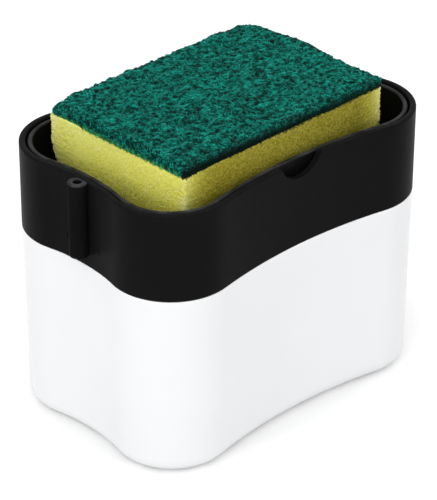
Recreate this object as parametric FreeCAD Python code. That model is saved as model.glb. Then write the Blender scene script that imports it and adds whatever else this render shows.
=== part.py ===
"""Soap pump caddy: a waisted soap reservoir, a black collar that lifts off it, a sprung press tray on a
central pump, and the sponge that stands in the tray. Millimetres, +Z up, origin in the middle of the base."""

import FreeCAD, Part
import math
import os
from FreeCAD import Vector

# Plan outline: a rectangle with round corners whose four sides are drawn in towards the middle
LENGTH = 135.0
WIDTH = 91.5
CORNER_RADIUS = 23.1
LONG_SIDE_WAIST = 4.5
SHORT_SIDE_WAIST = 2.6

# Reservoir
RESERVOIR_HEIGHT = 72.4
RESERVOIR_WALL = 2.2
RESERVOIR_FLOOR = 2.4
RESERVOIR_FOOT_INSET = 0.7
BASE_ROUND = 5.8
INNER_BASE_ROUND = 3.5
RESERVOIR_LIP_ROUND = 0.5

# Collar
COLLAR_HEIGHT = 33.9
COLLAR_WALL = 2.4
COLLAR_RIM_ROUND = 0.9
COLLAR_FOOT_ROUND = 0.3
STOP_BEAD = 1.2
STOP_BEAD_HEIGHT = 2.0
SNAP_HEIGHT = 1.2
SNAP_ENGAGEMENT = 0.5
SNAP_FIT = 0.05
NOTCH_WIDTH = 19.6
NOTCH_DEPTH = 7.0
NOTCH_CORNER_ROUND = 2.0
PIP_RADIUS = 0.9
PIP_PROUD = 0.5
PIP_SPACING = 16.4
PIP_HEIGHT = 8.4

# Socket on the collar's end wall
SOCKET_RADIUS = 3.5
SOCKET_BORE_RADIUS = 1.65
SOCKET_BORE_DEPTH = 22.0
SOCKET_STAND_OFF = 2.1
SOCKET_HEIGHT = 29.0
SOCKET_BELOW_RIM = 0.3
SOCKET_ROUND = 0.4

# Deck that closes the reservoir and carries the pump
DECK_THICKNESS = 2.0
DECK_BELOW_SEAM = 1.5
DECK_WALL = 1.8
DECK_UPSTAND = 5.0
LID_CLEARANCE = 0.5
WELL_RADIUS = 17.0
WELL_WALL = 2.0
WELL_DEPTH = 14.0

# Lid gasket in its groove round the deck
GASKET_HEIGHT = 1.9
GASKET_GROOVE_DEPTH = 0.9
GASKET_FIT = 0.05
GASKET_WALL_GAP = 0.2

# Press tray
STROKE = 10.0
TRAY_WALL = 1.8
TRAY_FLOOR = 2.0
TRAY_SLIDE_GAP = 0.6
TRAY_RIM_DROP = 0.6
TRAY_FOOT_INSET = 2.6
TRAY_DECK_GAP = 1.5
TRAY_RIM_ROUND = 0.7
TRAY_BASE_ROUND = 3.0
TRAY_INNER_ROUND = 1.5
HUB_RADIUS = 6.5
HUB_LENGTH = 6.5
RIB_HEIGHT = 3.0
RIB_WIDTH = 2.2
RIB_PITCH = 12.0
RIB_END_MARGIN = 7.0

# Soap nozzle
NOZZLE_RADIUS = 8.0
NOZZLE_HEIGHT = 2.5
NOZZLE_BORE_RADIUS = 1.2
NOZZLE_SPIGOT_LENGTH = 1.8
NOZZLE_SLOT_WIDTH = 1.4
NOZZLE_SLOT_DEPTH = 0.8
NOZZLE_ROUND = 1.2

# Pump
SLIDING_FIT = 0.05
FACE_GAP = 0.1
BARREL_BORE_RADIUS = 7.4
BARREL_WALL = 1.6
BARREL_LENGTH = 32.0
FLANGE_RADIUS = 14.5
FLANGE_THICKNESS = 2.0
PUMP_GASKET_THICKNESS = 1.2
BARREL_HOLE_GAP = 0.3
SEAT_BORE_RADIUS = 1.6
SEAT_THICKNESS = 1.0
SEAT_CONE_HEIGHT = 1.4
TAIL_LENGTH = 12.0
TAIL_WALL = 1.5
TAIL_STOP = 1.5
CAP_RADIUS = 12.5
CAP_THICKNESS = 2.8
CAP_PLUG_LENGTH = 3.7
CAP_BOSS_RADIUS = 6.2
CAP_BOSS_HEIGHT = 2.5
CAP_ROUND = 0.5
RING_NUT_RADIUS = 13.5
RING_NUT_HEIGHT = 6.0
RING_NUT_FLUTES = 12
RING_NUT_FLUTE_RADIUS = 1.6
STEM_RADIUS = 4.0
STEM_BORE_RADIUS = 1.6
STEM_CHAMBER_RADIUS = 2.6
STEM_CHAMBER_LENGTH = 5.4
STEM_FLANGE_RADIUS = 6.2
STEM_FLANGE_THICKNESS = 2.5
PISTON_HEIGHT = 6.3
PISTON_LIP_HEIGHT = 1.8
PISTON_WAIST_RADIUS = 6.3
INLET_BALL_RADIUS = 2.6
INLET_BALL_LIFT = 1.5
OUTLET_BALL_RADIUS = 2.0
OUTLET_BALL_LIFT = 1.2
CAGE_THICKNESS = 1.6
CAGE_HOLE_RADIUS = 1.2
CAGE_HOLES = 6
CAGE_HOLE_CIRCLE = 4.6
DIP_TUBE_RADIUS = 3.0
DIP_TUBE_BORE_RADIUS = 2.1
DIP_TUBE_FLOOR_GAP = 2.6
DIP_TUBE_CUT_ANGLE = 30.0

# Return spring
SPRING_WIRE_RADIUS = 0.55
SPRING_RADIUS = 7.85
SPRING_TURNS = 6.5
SPRING_CLOSING_SHARE = 0.42
SPRING_ARCS_PER_TURN = 4

# Sponge
SPONGE_END_GAP = 10.75
SPONGE_SIDE_GAP = 0.95
FOAM_THICKNESS = 26.4
PAD_THICKNESS = 4.0
SPONGE_CORNER_ROUND = 1.6

# Heights that follow from the sizes above
SEAM_Z = RESERVOIR_HEIGHT
RIM_Z = SEAM_Z + COLLAR_HEIGHT
DECK_TOP_Z = SEAM_Z - DECK_BELOW_SEAM
DECK_BOTTOM_Z = DECK_TOP_Z - DECK_THICKNESS
DECK_WALL_TOP_Z = SEAM_Z + DECK_UPSTAND
WELL_FLOOR_TOP_Z = DECK_TOP_Z - WELL_DEPTH
WELL_FLOOR_BOTTOM_Z = WELL_FLOOR_TOP_Z - WELL_WALL
TRAY_BOTTOM_Z = DECK_TOP_Z + STROKE + TRAY_DECK_GAP
TRAY_FLOOR_Z = TRAY_BOTTOM_Z + TRAY_FLOOR
TRAY_RIM_Z = RIM_Z - TRAY_RIM_DROP
SPONGE_Z = TRAY_FLOOR_Z + RIB_HEIGHT
FLANGE_BOTTOM_Z = WELL_FLOOR_TOP_Z + PUMP_GASKET_THICKNESS
FLANGE_TOP_Z = FLANGE_BOTTOM_Z + FLANGE_THICKNESS
BARREL_BOTTOM_Z = FLANGE_TOP_Z - BARREL_LENGTH
SEAT_Z = BARREL_BOTTOM_Z + SEAT_THICKNESS
CAP_PLUG_BOTTOM_Z = FLANGE_TOP_Z - CAP_PLUG_LENGTH
CAP_TOP_Z = FLANGE_TOP_Z + CAP_THICKNESS
PISTON_TOP_Z = CAP_PLUG_BOTTOM_Z - FACE_GAP
PISTON_BOTTOM_Z = PISTON_TOP_Z - PISTON_HEIGHT
STEM_BOTTOM_Z = PISTON_BOTTOM_Z - STEM_FLANGE_THICKNESS
STEM_TOP_Z = TRAY_BOTTOM_Z - FACE_GAP
BARREL_RADIUS = BARREL_BORE_RADIUS + BARREL_WALL
INLET_BALL_Z = SEAT_Z - SEAT_BORE_RADIUS + INLET_BALL_RADIUS * math.sqrt(2) + SLIDING_FIT
CAGE_Z = INLET_BALL_Z + INLET_BALL_RADIUS + INLET_BALL_LIFT + FACE_GAP
CHAMBER_Z = STEM_TOP_Z - STEM_CHAMBER_LENGTH
OUTLET_SEAT_Z = CHAMBER_Z - (STEM_CHAMBER_RADIUS - STEM_BORE_RADIUS)
OUTLET_BALL_Z = OUTLET_SEAT_Z - STEM_BORE_RADIUS + OUTLET_BALL_RADIUS * math.sqrt(2) + SLIDING_FIT

# Plan positions that follow from the outline
CORNER_X = LENGTH / 2 - CORNER_RADIUS
CORNER_Y = WIDTH / 2 - CORNER_RADIUS
WAIST_X = LENGTH / 2 - SHORT_SIDE_WAIST
WAIST_Y = WIDTH / 2 - LONG_SIDE_WAIST
LONG_SIDE_RADIUS = CORNER_X ** 2 / (2 * LONG_SIDE_WAIST) - CORNER_RADIUS + LONG_SIDE_WAIST / 2
SHORT_SIDE_RADIUS = CORNER_Y ** 2 / (2 * SHORT_SIDE_WAIST) - CORNER_RADIUS + SHORT_SIDE_WAIST / 2
DECK_INSET = max(RESERVOIR_WALL, COLLAR_WALL) + LID_CLEARANCE
TRAY_RIM_INSET = COLLAR_WALL + TRAY_SLIDE_GAP
TRAY_BASE_INSET = TRAY_RIM_INSET + TRAY_FOOT_INSET
SNAP_Z = SEAM_Z + DECK_UPSTAND / 2
SPONGE_SEAT_SHARE = (TRAY_RIM_Z - SPONGE_Z) / (TRAY_RIM_Z - TRAY_FLOOR_Z)
SPONGE_SEAT_INSET = TRAY_RIM_INSET + TRAY_WALL + TRAY_FOOT_INSET * SPONGE_SEAT_SHARE
SPONGE_LENGTH = 2 * (WAIST_X - SPONGE_SEAT_INSET - SPONGE_END_GAP)
SPONGE_WIDTH = 2 * (WAIST_Y - SPONGE_SEAT_INSET - SPONGE_SIDE_GAP)

# Where the foot of a swept wall meets the flat plate inside it, as a share of the corner radius
PLATE_SHARE = 0.7
PLATE_INSET = PLATE_SHARE * CORNER_RADIUS

# Largest share of the shorter edge beside a corner that the corner's rounding may take
ROUND_SHARE = 0.49

# How far a cutting tool reaches past what it cuts
CUT_MARGIN = 5.0
UP = Vector(0, 0, 1)


def outline(inset, z):
    """The closed plan outline, drawn in by inset, as tangent arcs that start in the middle of the +X end."""
    side_y = WAIST_Y + LONG_SIDE_RADIUS
    end_x = WAIST_X + SHORT_SIDE_RADIUS
    corner = CORNER_RADIUS - inset
    side = LONG_SIDE_RADIUS + inset
    end = SHORT_SIDE_RADIUS + inset
    side_turn = math.degrees(math.atan2(CORNER_X, side_y - CORNER_Y))
    end_turn = math.degrees(math.atan2(CORNER_Y, end_x - CORNER_X))

    # Centre, radius, first and last angle, and the number of arcs that the stretch is made of
    stretches = [
        (end_x, 0, end, 180, 180 - end_turn, 1),
        (CORNER_X, CORNER_Y, corner, -end_turn, 90 + side_turn, 1),
        (0, side_y, side, -90 + side_turn, -90 - side_turn, 3),
        (-CORNER_X, CORNER_Y, corner, 90 - side_turn, 180 + end_turn, 1),
        (-end_x, 0, end, end_turn, -end_turn, 1),
        (-CORNER_X, -CORNER_Y, corner, 180 - end_turn, 270 + side_turn, 1),
        (0, -side_y, side, 90 + side_turn, 90 - side_turn, 3),
        (CORNER_X, -CORNER_Y, corner, -90 - side_turn, end_turn, 1),
        (end_x, 0, end, 180 + end_turn, 180, 1),
    ]
    edges = []
    for x, y, radius, first, last, count in stretches:
        step = math.radians(last - first) / count
        for index in range(count):
            begin = math.radians(first) + index * step
            angles = (begin, begin + step / 2, begin + step)
            points = [Vector(x + radius * math.cos(a), y + radius * math.sin(a), z) for a in angles]
            edges.append(Part.Arc(*points).toShape())
    return Part.Wire(edges)


def rounded_wire(corners):
    """A closed wire through (point, radius) corners, with a tangent arc at each corner that has a radius."""
    stops = []
    count = len(corners)
    for index, (point, radius) in enumerate(corners):
        if radius <= 0:
            stops.append((point, None, point))
            continue
        before = corners[index - 1][0] - point
        after = corners[(index + 1) % count][0] - point
        half_turn = before.getAngle(after) / 2
        shorter = min(before.Length, after.Length)
        before.normalize()
        after.normalize()
        reach = min(radius / math.tan(half_turn), ROUND_SHARE * shorter)
        fitted = reach * math.tan(half_turn)
        to_middle = fitted / math.sin(half_turn) - fitted
        middle = point + (before + after).normalize() * to_middle
        stops.append((point + before * reach, middle, point + after * reach))
    edges = []
    for index, (entry, middle, leave) in enumerate(stops):
        if middle is not None:
            edges.append(Part.Arc(entry, middle, leave).toShape())
        following = stops[(index + 1) % count][0]
        edges.append(Part.LineSegment(leave, following).toShape())
    return Part.Wire(edges)


def swept_wall(section):
    """A wall round the whole outline. Its section is a list of (inset, height, rounding) corners."""
    corners = [(Vector(WAIST_X - inset, 0, z), rounding) for inset, z, rounding in section]
    return outline(0, 0).makePipeShell([rounded_wire(corners)], True, False)


def plate(inset, bottom, top):
    """A flat plate of the outline's shape."""
    return Part.Face(outline(inset, bottom)).extrude(UP * (top - bottom))


def rod(radius, bottom, top, x=0.0, y=0.0):
    return Part.makeCylinder(radius, top - bottom, Vector(x, y, bottom))


def tube(radius, bore, bottom, top):
    return rod(radius, bottom, top).cut(rod(bore, bottom - CUT_MARGIN, top + CUT_MARGIN))


def turned(section):
    """A body of revolution about the Z axis. Its section is a list of (radius, height, rounding) corners."""
    corners = [(Vector(radius, 0, z), rounding) for radius, z, rounding in section]
    return Part.Face(rounded_wire(corners)).revolve(Vector(0, 0, 0), UP, 360)


def joined(*shapes):
    return shapes[0].fuse(list(shapes[1:])).removeSplitter()


def end_wall_x(y):
    """Distance from the middle to the outside of the short wall, at a place along it."""
    return WAIST_X + SHORT_SIDE_RADIUS - math.sqrt(SHORT_SIDE_RADIUS ** 2 - y * y)


def reservoir():
    """The white soap tank: drafted wall, rounded foot, flat base."""
    wall = swept_wall([
        (0, SEAM_Z, RESERVOIR_LIP_ROUND),
        (RESERVOIR_WALL, SEAM_Z, 0),
        (RESERVOIR_WALL + RESERVOIR_FOOT_INSET, RESERVOIR_FLOOR, INNER_BASE_ROUND),
        (PLATE_INSET, RESERVOIR_FLOOR, 0),
        (PLATE_INSET, 0, 0),
        (RESERVOIR_FOOT_INSET, 0, BASE_ROUND),
    ])
    return joined(wall, plate(PLATE_INSET, 0, RESERVOIR_FLOOR))


def notch_cutter():
    """The finger notch in the front rim: one round bottom, eased into the rim on both sides."""
    radius = ((NOTCH_WIDTH / 2) ** 2 + NOTCH_DEPTH ** 2) / (2 * NOTCH_DEPTH)
    centre_z = RIM_Z - NOTCH_DEPTH + radius
    ease = NOTCH_CORNER_ROUND
    ease_z = RIM_Z - ease
    ease_x = math.sqrt((radius + ease) ** 2 - (ease_z - centre_z) ** 2)
    front_y = -WIDTH / 2 - CUT_MARGIN

    def at(x, z):
        return Vector(x, front_y, z)

    def joint(side):
        share = radius / (radius + ease)
        return at(side * ease_x * share, centre_z + (ease_z - centre_z) * share)

    def ease_middle(side):
        tip = (joint(side) + at(side * ease_x, RIM_Z)) * 0.5
        centre = at(side * ease_x, ease_z)
        return centre + (tip - centre).normalize() * ease

    edges = [
        Part.Arc(at(-ease_x, RIM_Z), ease_middle(-1), joint(-1)).toShape(),
        Part.Arc(joint(-1), at(0, centre_z - radius), joint(1)).toShape(),
        Part.Arc(joint(1), ease_middle(1), at(ease_x, RIM_Z)).toShape(),
        Part.LineSegment(at(ease_x, RIM_Z), at(ease_x, RIM_Z + CUT_MARGIN)).toShape(),
        Part.LineSegment(at(ease_x, RIM_Z + CUT_MARGIN), at(-ease_x, RIM_Z + CUT_MARGIN)).toShape(),
        Part.LineSegment(at(-ease_x, RIM_Z + CUT_MARGIN), at(-ease_x, RIM_Z)).toShape(),
    ]
    depth = LONG_SIDE_WAIST + COLLAR_WALL + 2 * CUT_MARGIN
    return Part.Face(Part.Wire(edges)).extrude(Vector(0, depth, 0))


def collar():
    """The black upper wall: bead and groove that hold the deck, finger notch, and two pips on the end wall."""
    bead_bottom = DECK_WALL_TOP_Z + FACE_GAP
    bead_inset = COLLAR_WALL + STOP_BEAD
    groove_inset = COLLAR_WALL - SNAP_ENGAGEMENT - SNAP_FIT
    groove_top = SNAP_Z + SNAP_HEIGHT / 2 + SNAP_FIT
    groove_bottom = SNAP_Z - SNAP_HEIGHT / 2 - SNAP_FIT
    wall = swept_wall([
        (0, SEAM_Z, COLLAR_FOOT_ROUND),
        (0, RIM_Z, COLLAR_RIM_ROUND),
        (COLLAR_WALL, RIM_Z, COLLAR_RIM_ROUND),
        (COLLAR_WALL, bead_bottom + STOP_BEAD_HEIGHT, 0),
        (bead_inset, bead_bottom + STOP_BEAD_HEIGHT - STOP_BEAD, 0),
        (bead_inset, bead_bottom, 0),
        (COLLAR_WALL, bead_bottom, 0),
        (COLLAR_WALL, groove_top, 0),
        (groove_inset, groove_top, 0),
        (groove_inset, groove_bottom, 0),
        (COLLAR_WALL, groove_bottom, 0),
        (COLLAR_WALL, SEAM_Z, 0),
    ])
    pips = []
    for side in (-1, 1):
        y = side * PIP_SPACING / 2
        x = -end_wall_x(y) - PIP_PROUD + PIP_RADIUS
        pips.append(Part.makeSphere(PIP_RADIUS, Vector(x, y, SEAM_Z + PIP_HEIGHT)))
    return wall.fuse(pips).cut(notch_cutter())


def end_socket():
    """The upright tube on the outside of the end wall, open at the top."""
    x = -WAIST_X - SOCKET_STAND_OFF
    top = RIM_Z - SOCKET_BELOW_RIM
    body = rod(SOCKET_RADIUS, top - SOCKET_HEIGHT, top, x)
    rims = [edge for edge in body.Edges if isinstance(edge.Curve, Part.Circle)]
    body = body.makeFillet(SOCKET_ROUND, rims)
    body = body.cut(plate(0, SEAM_Z, RIM_Z))
    return body.cut(rod(SOCKET_BORE_RADIUS, top - SOCKET_BORE_DEPTH, top + CUT_MARGIN, x))


def gasket_groove():
    """Bottom and top of the groove round the deck's skirt."""
    middle = (DECK_BOTTOM_Z + SEAM_Z) / 2
    return middle - GASKET_HEIGHT / 2 - GASKET_FIT, middle + GASKET_HEIGHT / 2 + GASKET_FIT


def deck():
    """The plate that closes the reservoir: upstand with snap ridge, gasket groove, and the pump's well."""
    groove_bottom, groove_top = gasket_groove()
    groove_inset = DECK_INSET + GASKET_GROOVE_DEPTH
    inner = DECK_INSET + DECK_WALL
    ridge_inset = COLLAR_WALL - SNAP_ENGAGEMENT
    skirt = swept_wall([
        (DECK_INSET, DECK_BOTTOM_Z, 0),
        (DECK_INSET, groove_bottom, 0),
        (groove_inset, groove_bottom, 0),
        (groove_inset, groove_top, 0),
        (DECK_INSET, groove_top, 0),
        (DECK_INSET, SNAP_Z - SNAP_HEIGHT / 2, 0),
        (ridge_inset, SNAP_Z - SNAP_HEIGHT / 2, 0),
        (ridge_inset, SNAP_Z + SNAP_HEIGHT / 2, 0),
        (DECK_INSET, SNAP_Z + SNAP_HEIGHT / 2, 0),
        (DECK_INSET, DECK_WALL_TOP_Z, 0),
        (inner, DECK_WALL_TOP_Z, 0),
        (inner, DECK_TOP_Z, 0),
        (PLATE_INSET, DECK_TOP_Z, 0),
        (PLATE_INSET, DECK_BOTTOM_Z, 0),
    ])
    well_outside = WELL_RADIUS + WELL_WALL
    well = rod(well_outside, WELL_FLOOR_BOTTOM_Z, DECK_TOP_Z)
    body = joined(skirt, plate(PLATE_INSET, DECK_BOTTOM_Z, DECK_TOP_Z), well)
    body = body.cut(rod(WELL_RADIUS, WELL_FLOOR_TOP_Z, DECK_TOP_Z + CUT_MARGIN))
    hole = rod(BARREL_RADIUS + BARREL_HOLE_GAP, WELL_FLOOR_BOTTOM_Z - CUT_MARGIN, WELL_FLOOR_TOP_Z + CUT_MARGIN)
    return body.cut(hole)


def lid_gasket():
    """The soft ring that seals the deck against the reservoir's wall."""
    groove_bottom, groove_top = gasket_groove()
    drawn_in = RESERVOIR_FOOT_INSET * (SEAM_Z - groove_bottom) / (SEAM_Z - RESERVOIR_FLOOR)
    outer = RESERVOIR_WALL + drawn_in + GASKET_WALL_GAP
    inner = DECK_INSET + GASKET_GROOVE_DEPTH - GASKET_FIT
    bottom = groove_bottom + GASKET_FIT
    top = groove_top - GASKET_FIT
    lip = (inner - outer) / 2
    return swept_wall([(outer, bottom, lip), (outer, top, lip), (inner, top, 0), (inner, bottom, 0)])


def rib_positions():
    """Places along the tray of the ribs that the sponge stands on, clear of the nozzle in the middle."""
    reach = SPONGE_LENGTH / 2 - RIB_WIDTH
    first = NOZZLE_RADIUS + RIB_WIDTH
    count = int((reach - first) // RIB_PITCH) + 1
    places = [first + index * RIB_PITCH for index in range(count)]
    return [-place for place in reversed(places)] + places


def tray():
    """The black dish that the sponge stands in. Pressing it down works the pump."""
    wall = swept_wall([
        (TRAY_RIM_INSET, TRAY_RIM_Z, TRAY_RIM_ROUND),
        (TRAY_RIM_INSET + TRAY_WALL, TRAY_RIM_Z, TRAY_RIM_ROUND),
        (TRAY_BASE_INSET + TRAY_WALL, TRAY_FLOOR_Z, TRAY_INNER_ROUND),
        (PLATE_INSET, TRAY_FLOOR_Z, 0),
        (PLATE_INSET, TRAY_BOTTOM_Z, 0),
        (TRAY_BASE_INSET, TRAY_BOTTOM_Z, TRAY_BASE_ROUND),
    ])
    floor = plate(PLATE_INSET, TRAY_BOTTOM_Z, TRAY_FLOOR_Z)
    hub = rod(HUB_RADIUS, TRAY_BOTTOM_Z - HUB_LENGTH, TRAY_BOTTOM_Z + TRAY_FLOOR / 2)
    half_rib = SPONGE_WIDTH / 2 - RIB_END_MARGIN
    ribs = []
    for x in rib_positions():
        corners = [
            (Vector(x + across * RIB_WIDTH / 2, along * half_rib, TRAY_BOTTOM_Z + TRAY_FLOOR / 2), RIB_WIDTH / 2)
            for across, along in ((-1, -1), (1, -1), (1, 1), (-1, 1))
        ]
        ribs.append(Part.Face(rounded_wire(corners)).extrude(UP * (TRAY_FLOOR / 2 + RIB_HEIGHT)))
    body = joined(wall, floor, hub, *ribs)
    body = body.cut(rod(STEM_RADIUS + SLIDING_FIT, TRAY_BOTTOM_Z - HUB_LENGTH - CUT_MARGIN, TRAY_BOTTOM_Z))
    return body.cut(rod(STEM_CHAMBER_RADIUS, TRAY_BOTTOM_Z - CUT_MARGIN, TRAY_FLOOR_Z + CUT_MARGIN))


def soap_nozzle():
    """The outlet button in the middle of the tray: a low dome with crossed slots and a hollow spigot."""
    spigot = STEM_CHAMBER_RADIUS - SLIDING_FIT
    top = TRAY_FLOOR_Z + NOZZLE_HEIGHT
    body = turned([
        (NOZZLE_BORE_RADIUS, STEM_TOP_Z - NOZZLE_SPIGOT_LENGTH, 0),
        (spigot, STEM_TOP_Z - NOZZLE_SPIGOT_LENGTH, 0),
        (spigot, TRAY_FLOOR_Z, 0),
        (NOZZLE_RADIUS, TRAY_FLOOR_Z, 0),
        (NOZZLE_RADIUS, top, NOZZLE_ROUND),
        (NOZZLE_BORE_RADIUS, top, 0),
    ])
    slot_length = 2 * NOZZLE_RADIUS - 2 * NOZZLE_ROUND
    slot_z = top - NOZZLE_SLOT_DEPTH
    across = Part.makeBox(slot_length, NOZZLE_SLOT_WIDTH, NOZZLE_HEIGHT,
                          Vector(-slot_length / 2, -NOZZLE_SLOT_WIDTH / 2, slot_z))
    along = Part.makeBox(NOZZLE_SLOT_WIDTH, slot_length, NOZZLE_HEIGHT,
                         Vector(-NOZZLE_SLOT_WIDTH / 2, -slot_length / 2, slot_z))
    return body.cut(across.fuse(along))


def pump_housing():
    """The pump's barrel, with its flange, the conical seat of the inlet valve and the tail for the dip tube."""
    tail_radius = DIP_TUBE_RADIUS + TAIL_WALL
    socket_radius = DIP_TUBE_RADIUS + SLIDING_FIT
    cone_radius = SEAT_BORE_RADIUS + SEAT_CONE_HEIGHT
    tail_bottom = BARREL_BOTTOM_Z - TAIL_LENGTH
    return turned([
        (socket_radius, tail_bottom, 0),
        (tail_radius, tail_bottom, 0),
        (tail_radius, BARREL_BOTTOM_Z, 0),
        (BARREL_RADIUS, BARREL_BOTTOM_Z, BARREL_WALL),
        (BARREL_RADIUS, FLANGE_BOTTOM_Z, 0),
        (FLANGE_RADIUS, FLANGE_BOTTOM_Z, 0),
        (FLANGE_RADIUS, FLANGE_TOP_Z, 0),
        (BARREL_BORE_RADIUS, FLANGE_TOP_Z, 0),
        (BARREL_BORE_RADIUS, SEAT_Z + SEAT_CONE_HEIGHT, 0),
        (cone_radius, SEAT_Z + SEAT_CONE_HEIGHT, 0),
        (SEAT_BORE_RADIUS, SEAT_Z, 0),
        (SEAT_BORE_RADIUS, BARREL_BOTTOM_Z - TAIL_STOP, 0),
        (socket_radius, BARREL_BOTTOM_Z - TAIL_STOP, 0),
    ])


def pump_gasket():
    """The flat washer between the pump's flange and the floor of the well."""
    return tube(FLANGE_RADIUS, BARREL_RADIUS + SLIDING_FIT, WELL_FLOOR_TOP_Z, FLANGE_BOTTOM_Z)


def pump_ring_nut():
    """The fluted nut that holds the barrel from below the well."""
    top = WELL_FLOOR_BOTTOM_Z
    bottom = top - RING_NUT_HEIGHT
    body = tube(RING_NUT_RADIUS, BARREL_RADIUS + SLIDING_FIT, bottom, top)
    flutes = []
    for index in range(RING_NUT_FLUTES):
        angle = 2 * math.pi * index / RING_NUT_FLUTES
        reach = RING_NUT_RADIUS + RING_NUT_FLUTE_RADIUS / 2
        flutes.append(rod(RING_NUT_FLUTE_RADIUS, bottom - CUT_MARGIN, top + CUT_MARGIN,
                          reach * math.cos(angle), reach * math.sin(angle)))
    return body.cut(flutes)


def pump_cap():
    """The cap that closes the barrel, guides the stem and carries the foot of the spring."""
    bore = STEM_RADIUS + SLIDING_FIT
    plug = BARREL_BORE_RADIUS - SLIDING_FIT
    return turned([
        (bore, CAP_PLUG_BOTTOM_Z, 0),
        (plug, CAP_PLUG_BOTTOM_Z, 0),
        (plug, FLANGE_TOP_Z, 0),
        (CAP_RADIUS, FLANGE_TOP_Z, 0),
        (CAP_RADIUS, CAP_TOP_Z, CAP_ROUND),
        (CAP_BOSS_RADIUS, CAP_TOP_Z, 0),
        (CAP_BOSS_RADIUS, CAP_TOP_Z + CAP_BOSS_HEIGHT, CAP_ROUND),
        (bore, CAP_TOP_Z + CAP_BOSS_HEIGHT, 0),
    ])


def ball_cage():
    """The pierced disc that keeps the inlet ball near its seat."""
    top = CAGE_Z + CAGE_THICKNESS
    body = rod(BARREL_BORE_RADIUS - SLIDING_FIT, CAGE_Z, top)
    holes = []
    for index in range(CAGE_HOLES):
        angle = 2 * math.pi * index / CAGE_HOLES
        holes.append(rod(CAGE_HOLE_RADIUS, CAGE_Z - CUT_MARGIN, top + CUT_MARGIN,
                         CAGE_HOLE_CIRCLE * math.cos(angle), CAGE_HOLE_CIRCLE * math.sin(angle)))
    return body.cut(holes)


def inlet_ball():
    return Part.makeSphere(INLET_BALL_RADIUS, Vector(0, 0, INLET_BALL_Z))


def outlet_ball():
    return Part.makeSphere(OUTLET_BALL_RADIUS, Vector(0, 0, OUTLET_BALL_Z))


def dip_tube():
    """The suction tube, cut slantwise at its foot so that it can't seal against the reservoir's floor."""
    top = BARREL_BOTTOM_Z - TAIL_STOP
    bottom = RESERVOIR_FLOOR + DIP_TUBE_FLOOR_GAP
    body = tube(DIP_TUBE_RADIUS, DIP_TUBE_BORE_RADIUS, bottom, top)
    size = 4 * DIP_TUBE_RADIUS
    slant = Part.makeBox(2 * size, 2 * size, size, Vector(-size, -size, -size))
    slant.rotate(Vector(0, 0, 0), Vector(0, 1, 0), DIP_TUBE_CUT_ANGLE)
    rise = DIP_TUBE_RADIUS * math.tan(math.radians(DIP_TUBE_CUT_ANGLE))
    slant.translate(Vector(0, 0, bottom + rise))
    return body.cut(slant)


def pump_stem():
    """The hollow rod that joins the tray to the piston, with the outlet valve's seat at its top."""
    return turned([
        (STEM_BORE_RADIUS, STEM_BOTTOM_Z, 0),
        (STEM_FLANGE_RADIUS, STEM_BOTTOM_Z, 0),
        (STEM_FLANGE_RADIUS, PISTON_BOTTOM_Z, 0),
        (STEM_RADIUS, PISTON_BOTTOM_Z, 0),
        (STEM_RADIUS, STEM_TOP_Z, 0),
        (STEM_CHAMBER_RADIUS, STEM_TOP_Z, 0),
        (STEM_CHAMBER_RADIUS, CHAMBER_Z, 0),
        (STEM_BORE_RADIUS, OUTLET_SEAT_Z, 0),
    ])


def piston_seal():
    """The soft piston: two lips that wipe the barrel, with a waist between them."""
    inside = STEM_RADIUS + SLIDING_FIT
    lip = BARREL_BORE_RADIUS - SLIDING_FIT
    return turned([
        (inside, PISTON_BOTTOM_Z, 0),
        (lip, PISTON_BOTTOM_Z, 0),
        (lip, PISTON_BOTTOM_Z + PISTON_LIP_HEIGHT, 0),
        (PISTON_WAIST_RADIUS, PISTON_BOTTOM_Z + PISTON_LIP_HEIGHT, 0),
        (PISTON_WAIST_RADIUS, PISTON_TOP_Z - PISTON_LIP_HEIGHT, 0),
        (lip, PISTON_TOP_Z - PISTON_LIP_HEIGHT, 0),
        (lip, PISTON_TOP_Z, 0),
        (inside, PISTON_TOP_Z, 0),
    ])


def spring_place(turn):
    """Point and direction of the spring's centre line after a number of turns. The end turns lie closer."""
    share = turn / SPRING_TURNS
    angle = 2 * math.pi * turn
    height = TRAY_BOTTOM_Z - CAP_TOP_Z - 2 * SPRING_WIRE_RADIUS
    swing = SPRING_CLOSING_SHARE * math.sin(2 * math.pi * share) / (2 * math.pi)
    climb = height / SPRING_TURNS * (1 - SPRING_CLOSING_SHARE * math.cos(2 * math.pi * share))
    across = Vector(math.cos(angle), math.sin(angle), 0)
    along = Vector(-math.sin(angle), math.cos(angle), 0)
    point = across * SPRING_RADIUS + UP * (CAP_TOP_Z + SPRING_WIRE_RADIUS + height * (share - swing))
    direction = along * (2 * math.pi * SPRING_RADIUS) + UP * climb
    return point, direction.normalize()


def arc_in_corner(start, corner, end):
    """The arc that touches the line from start to corner at start, and the line from corner to end at end."""
    chord_middle = (start + end) * 0.5
    height = corner - chord_middle
    half_turn = math.atan2(height.Length, (start - chord_middle).Length)
    middle = chord_middle + height * (math.tan(half_turn / 2) / math.tan(half_turn))
    return Part.Arc(start, middle, end).toShape()


def arc_pair(start, start_direction, end, end_direction):
    """Two tangent arcs from one place on a curve to the next."""
    span = end - start
    along = span.dot(start_direction + end_direction)
    spread = 1 - start_direction.dot(end_direction)
    reach = (math.sqrt(along ** 2 + 2 * spread * span.dot(span)) - along) / (2 * spread)
    first_corner = start + start_direction * reach
    second_corner = end - end_direction * reach
    joint = (first_corner + second_corner) * 0.5
    return [arc_in_corner(start, first_corner, joint), arc_in_corner(joint, second_corner, end)]


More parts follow.
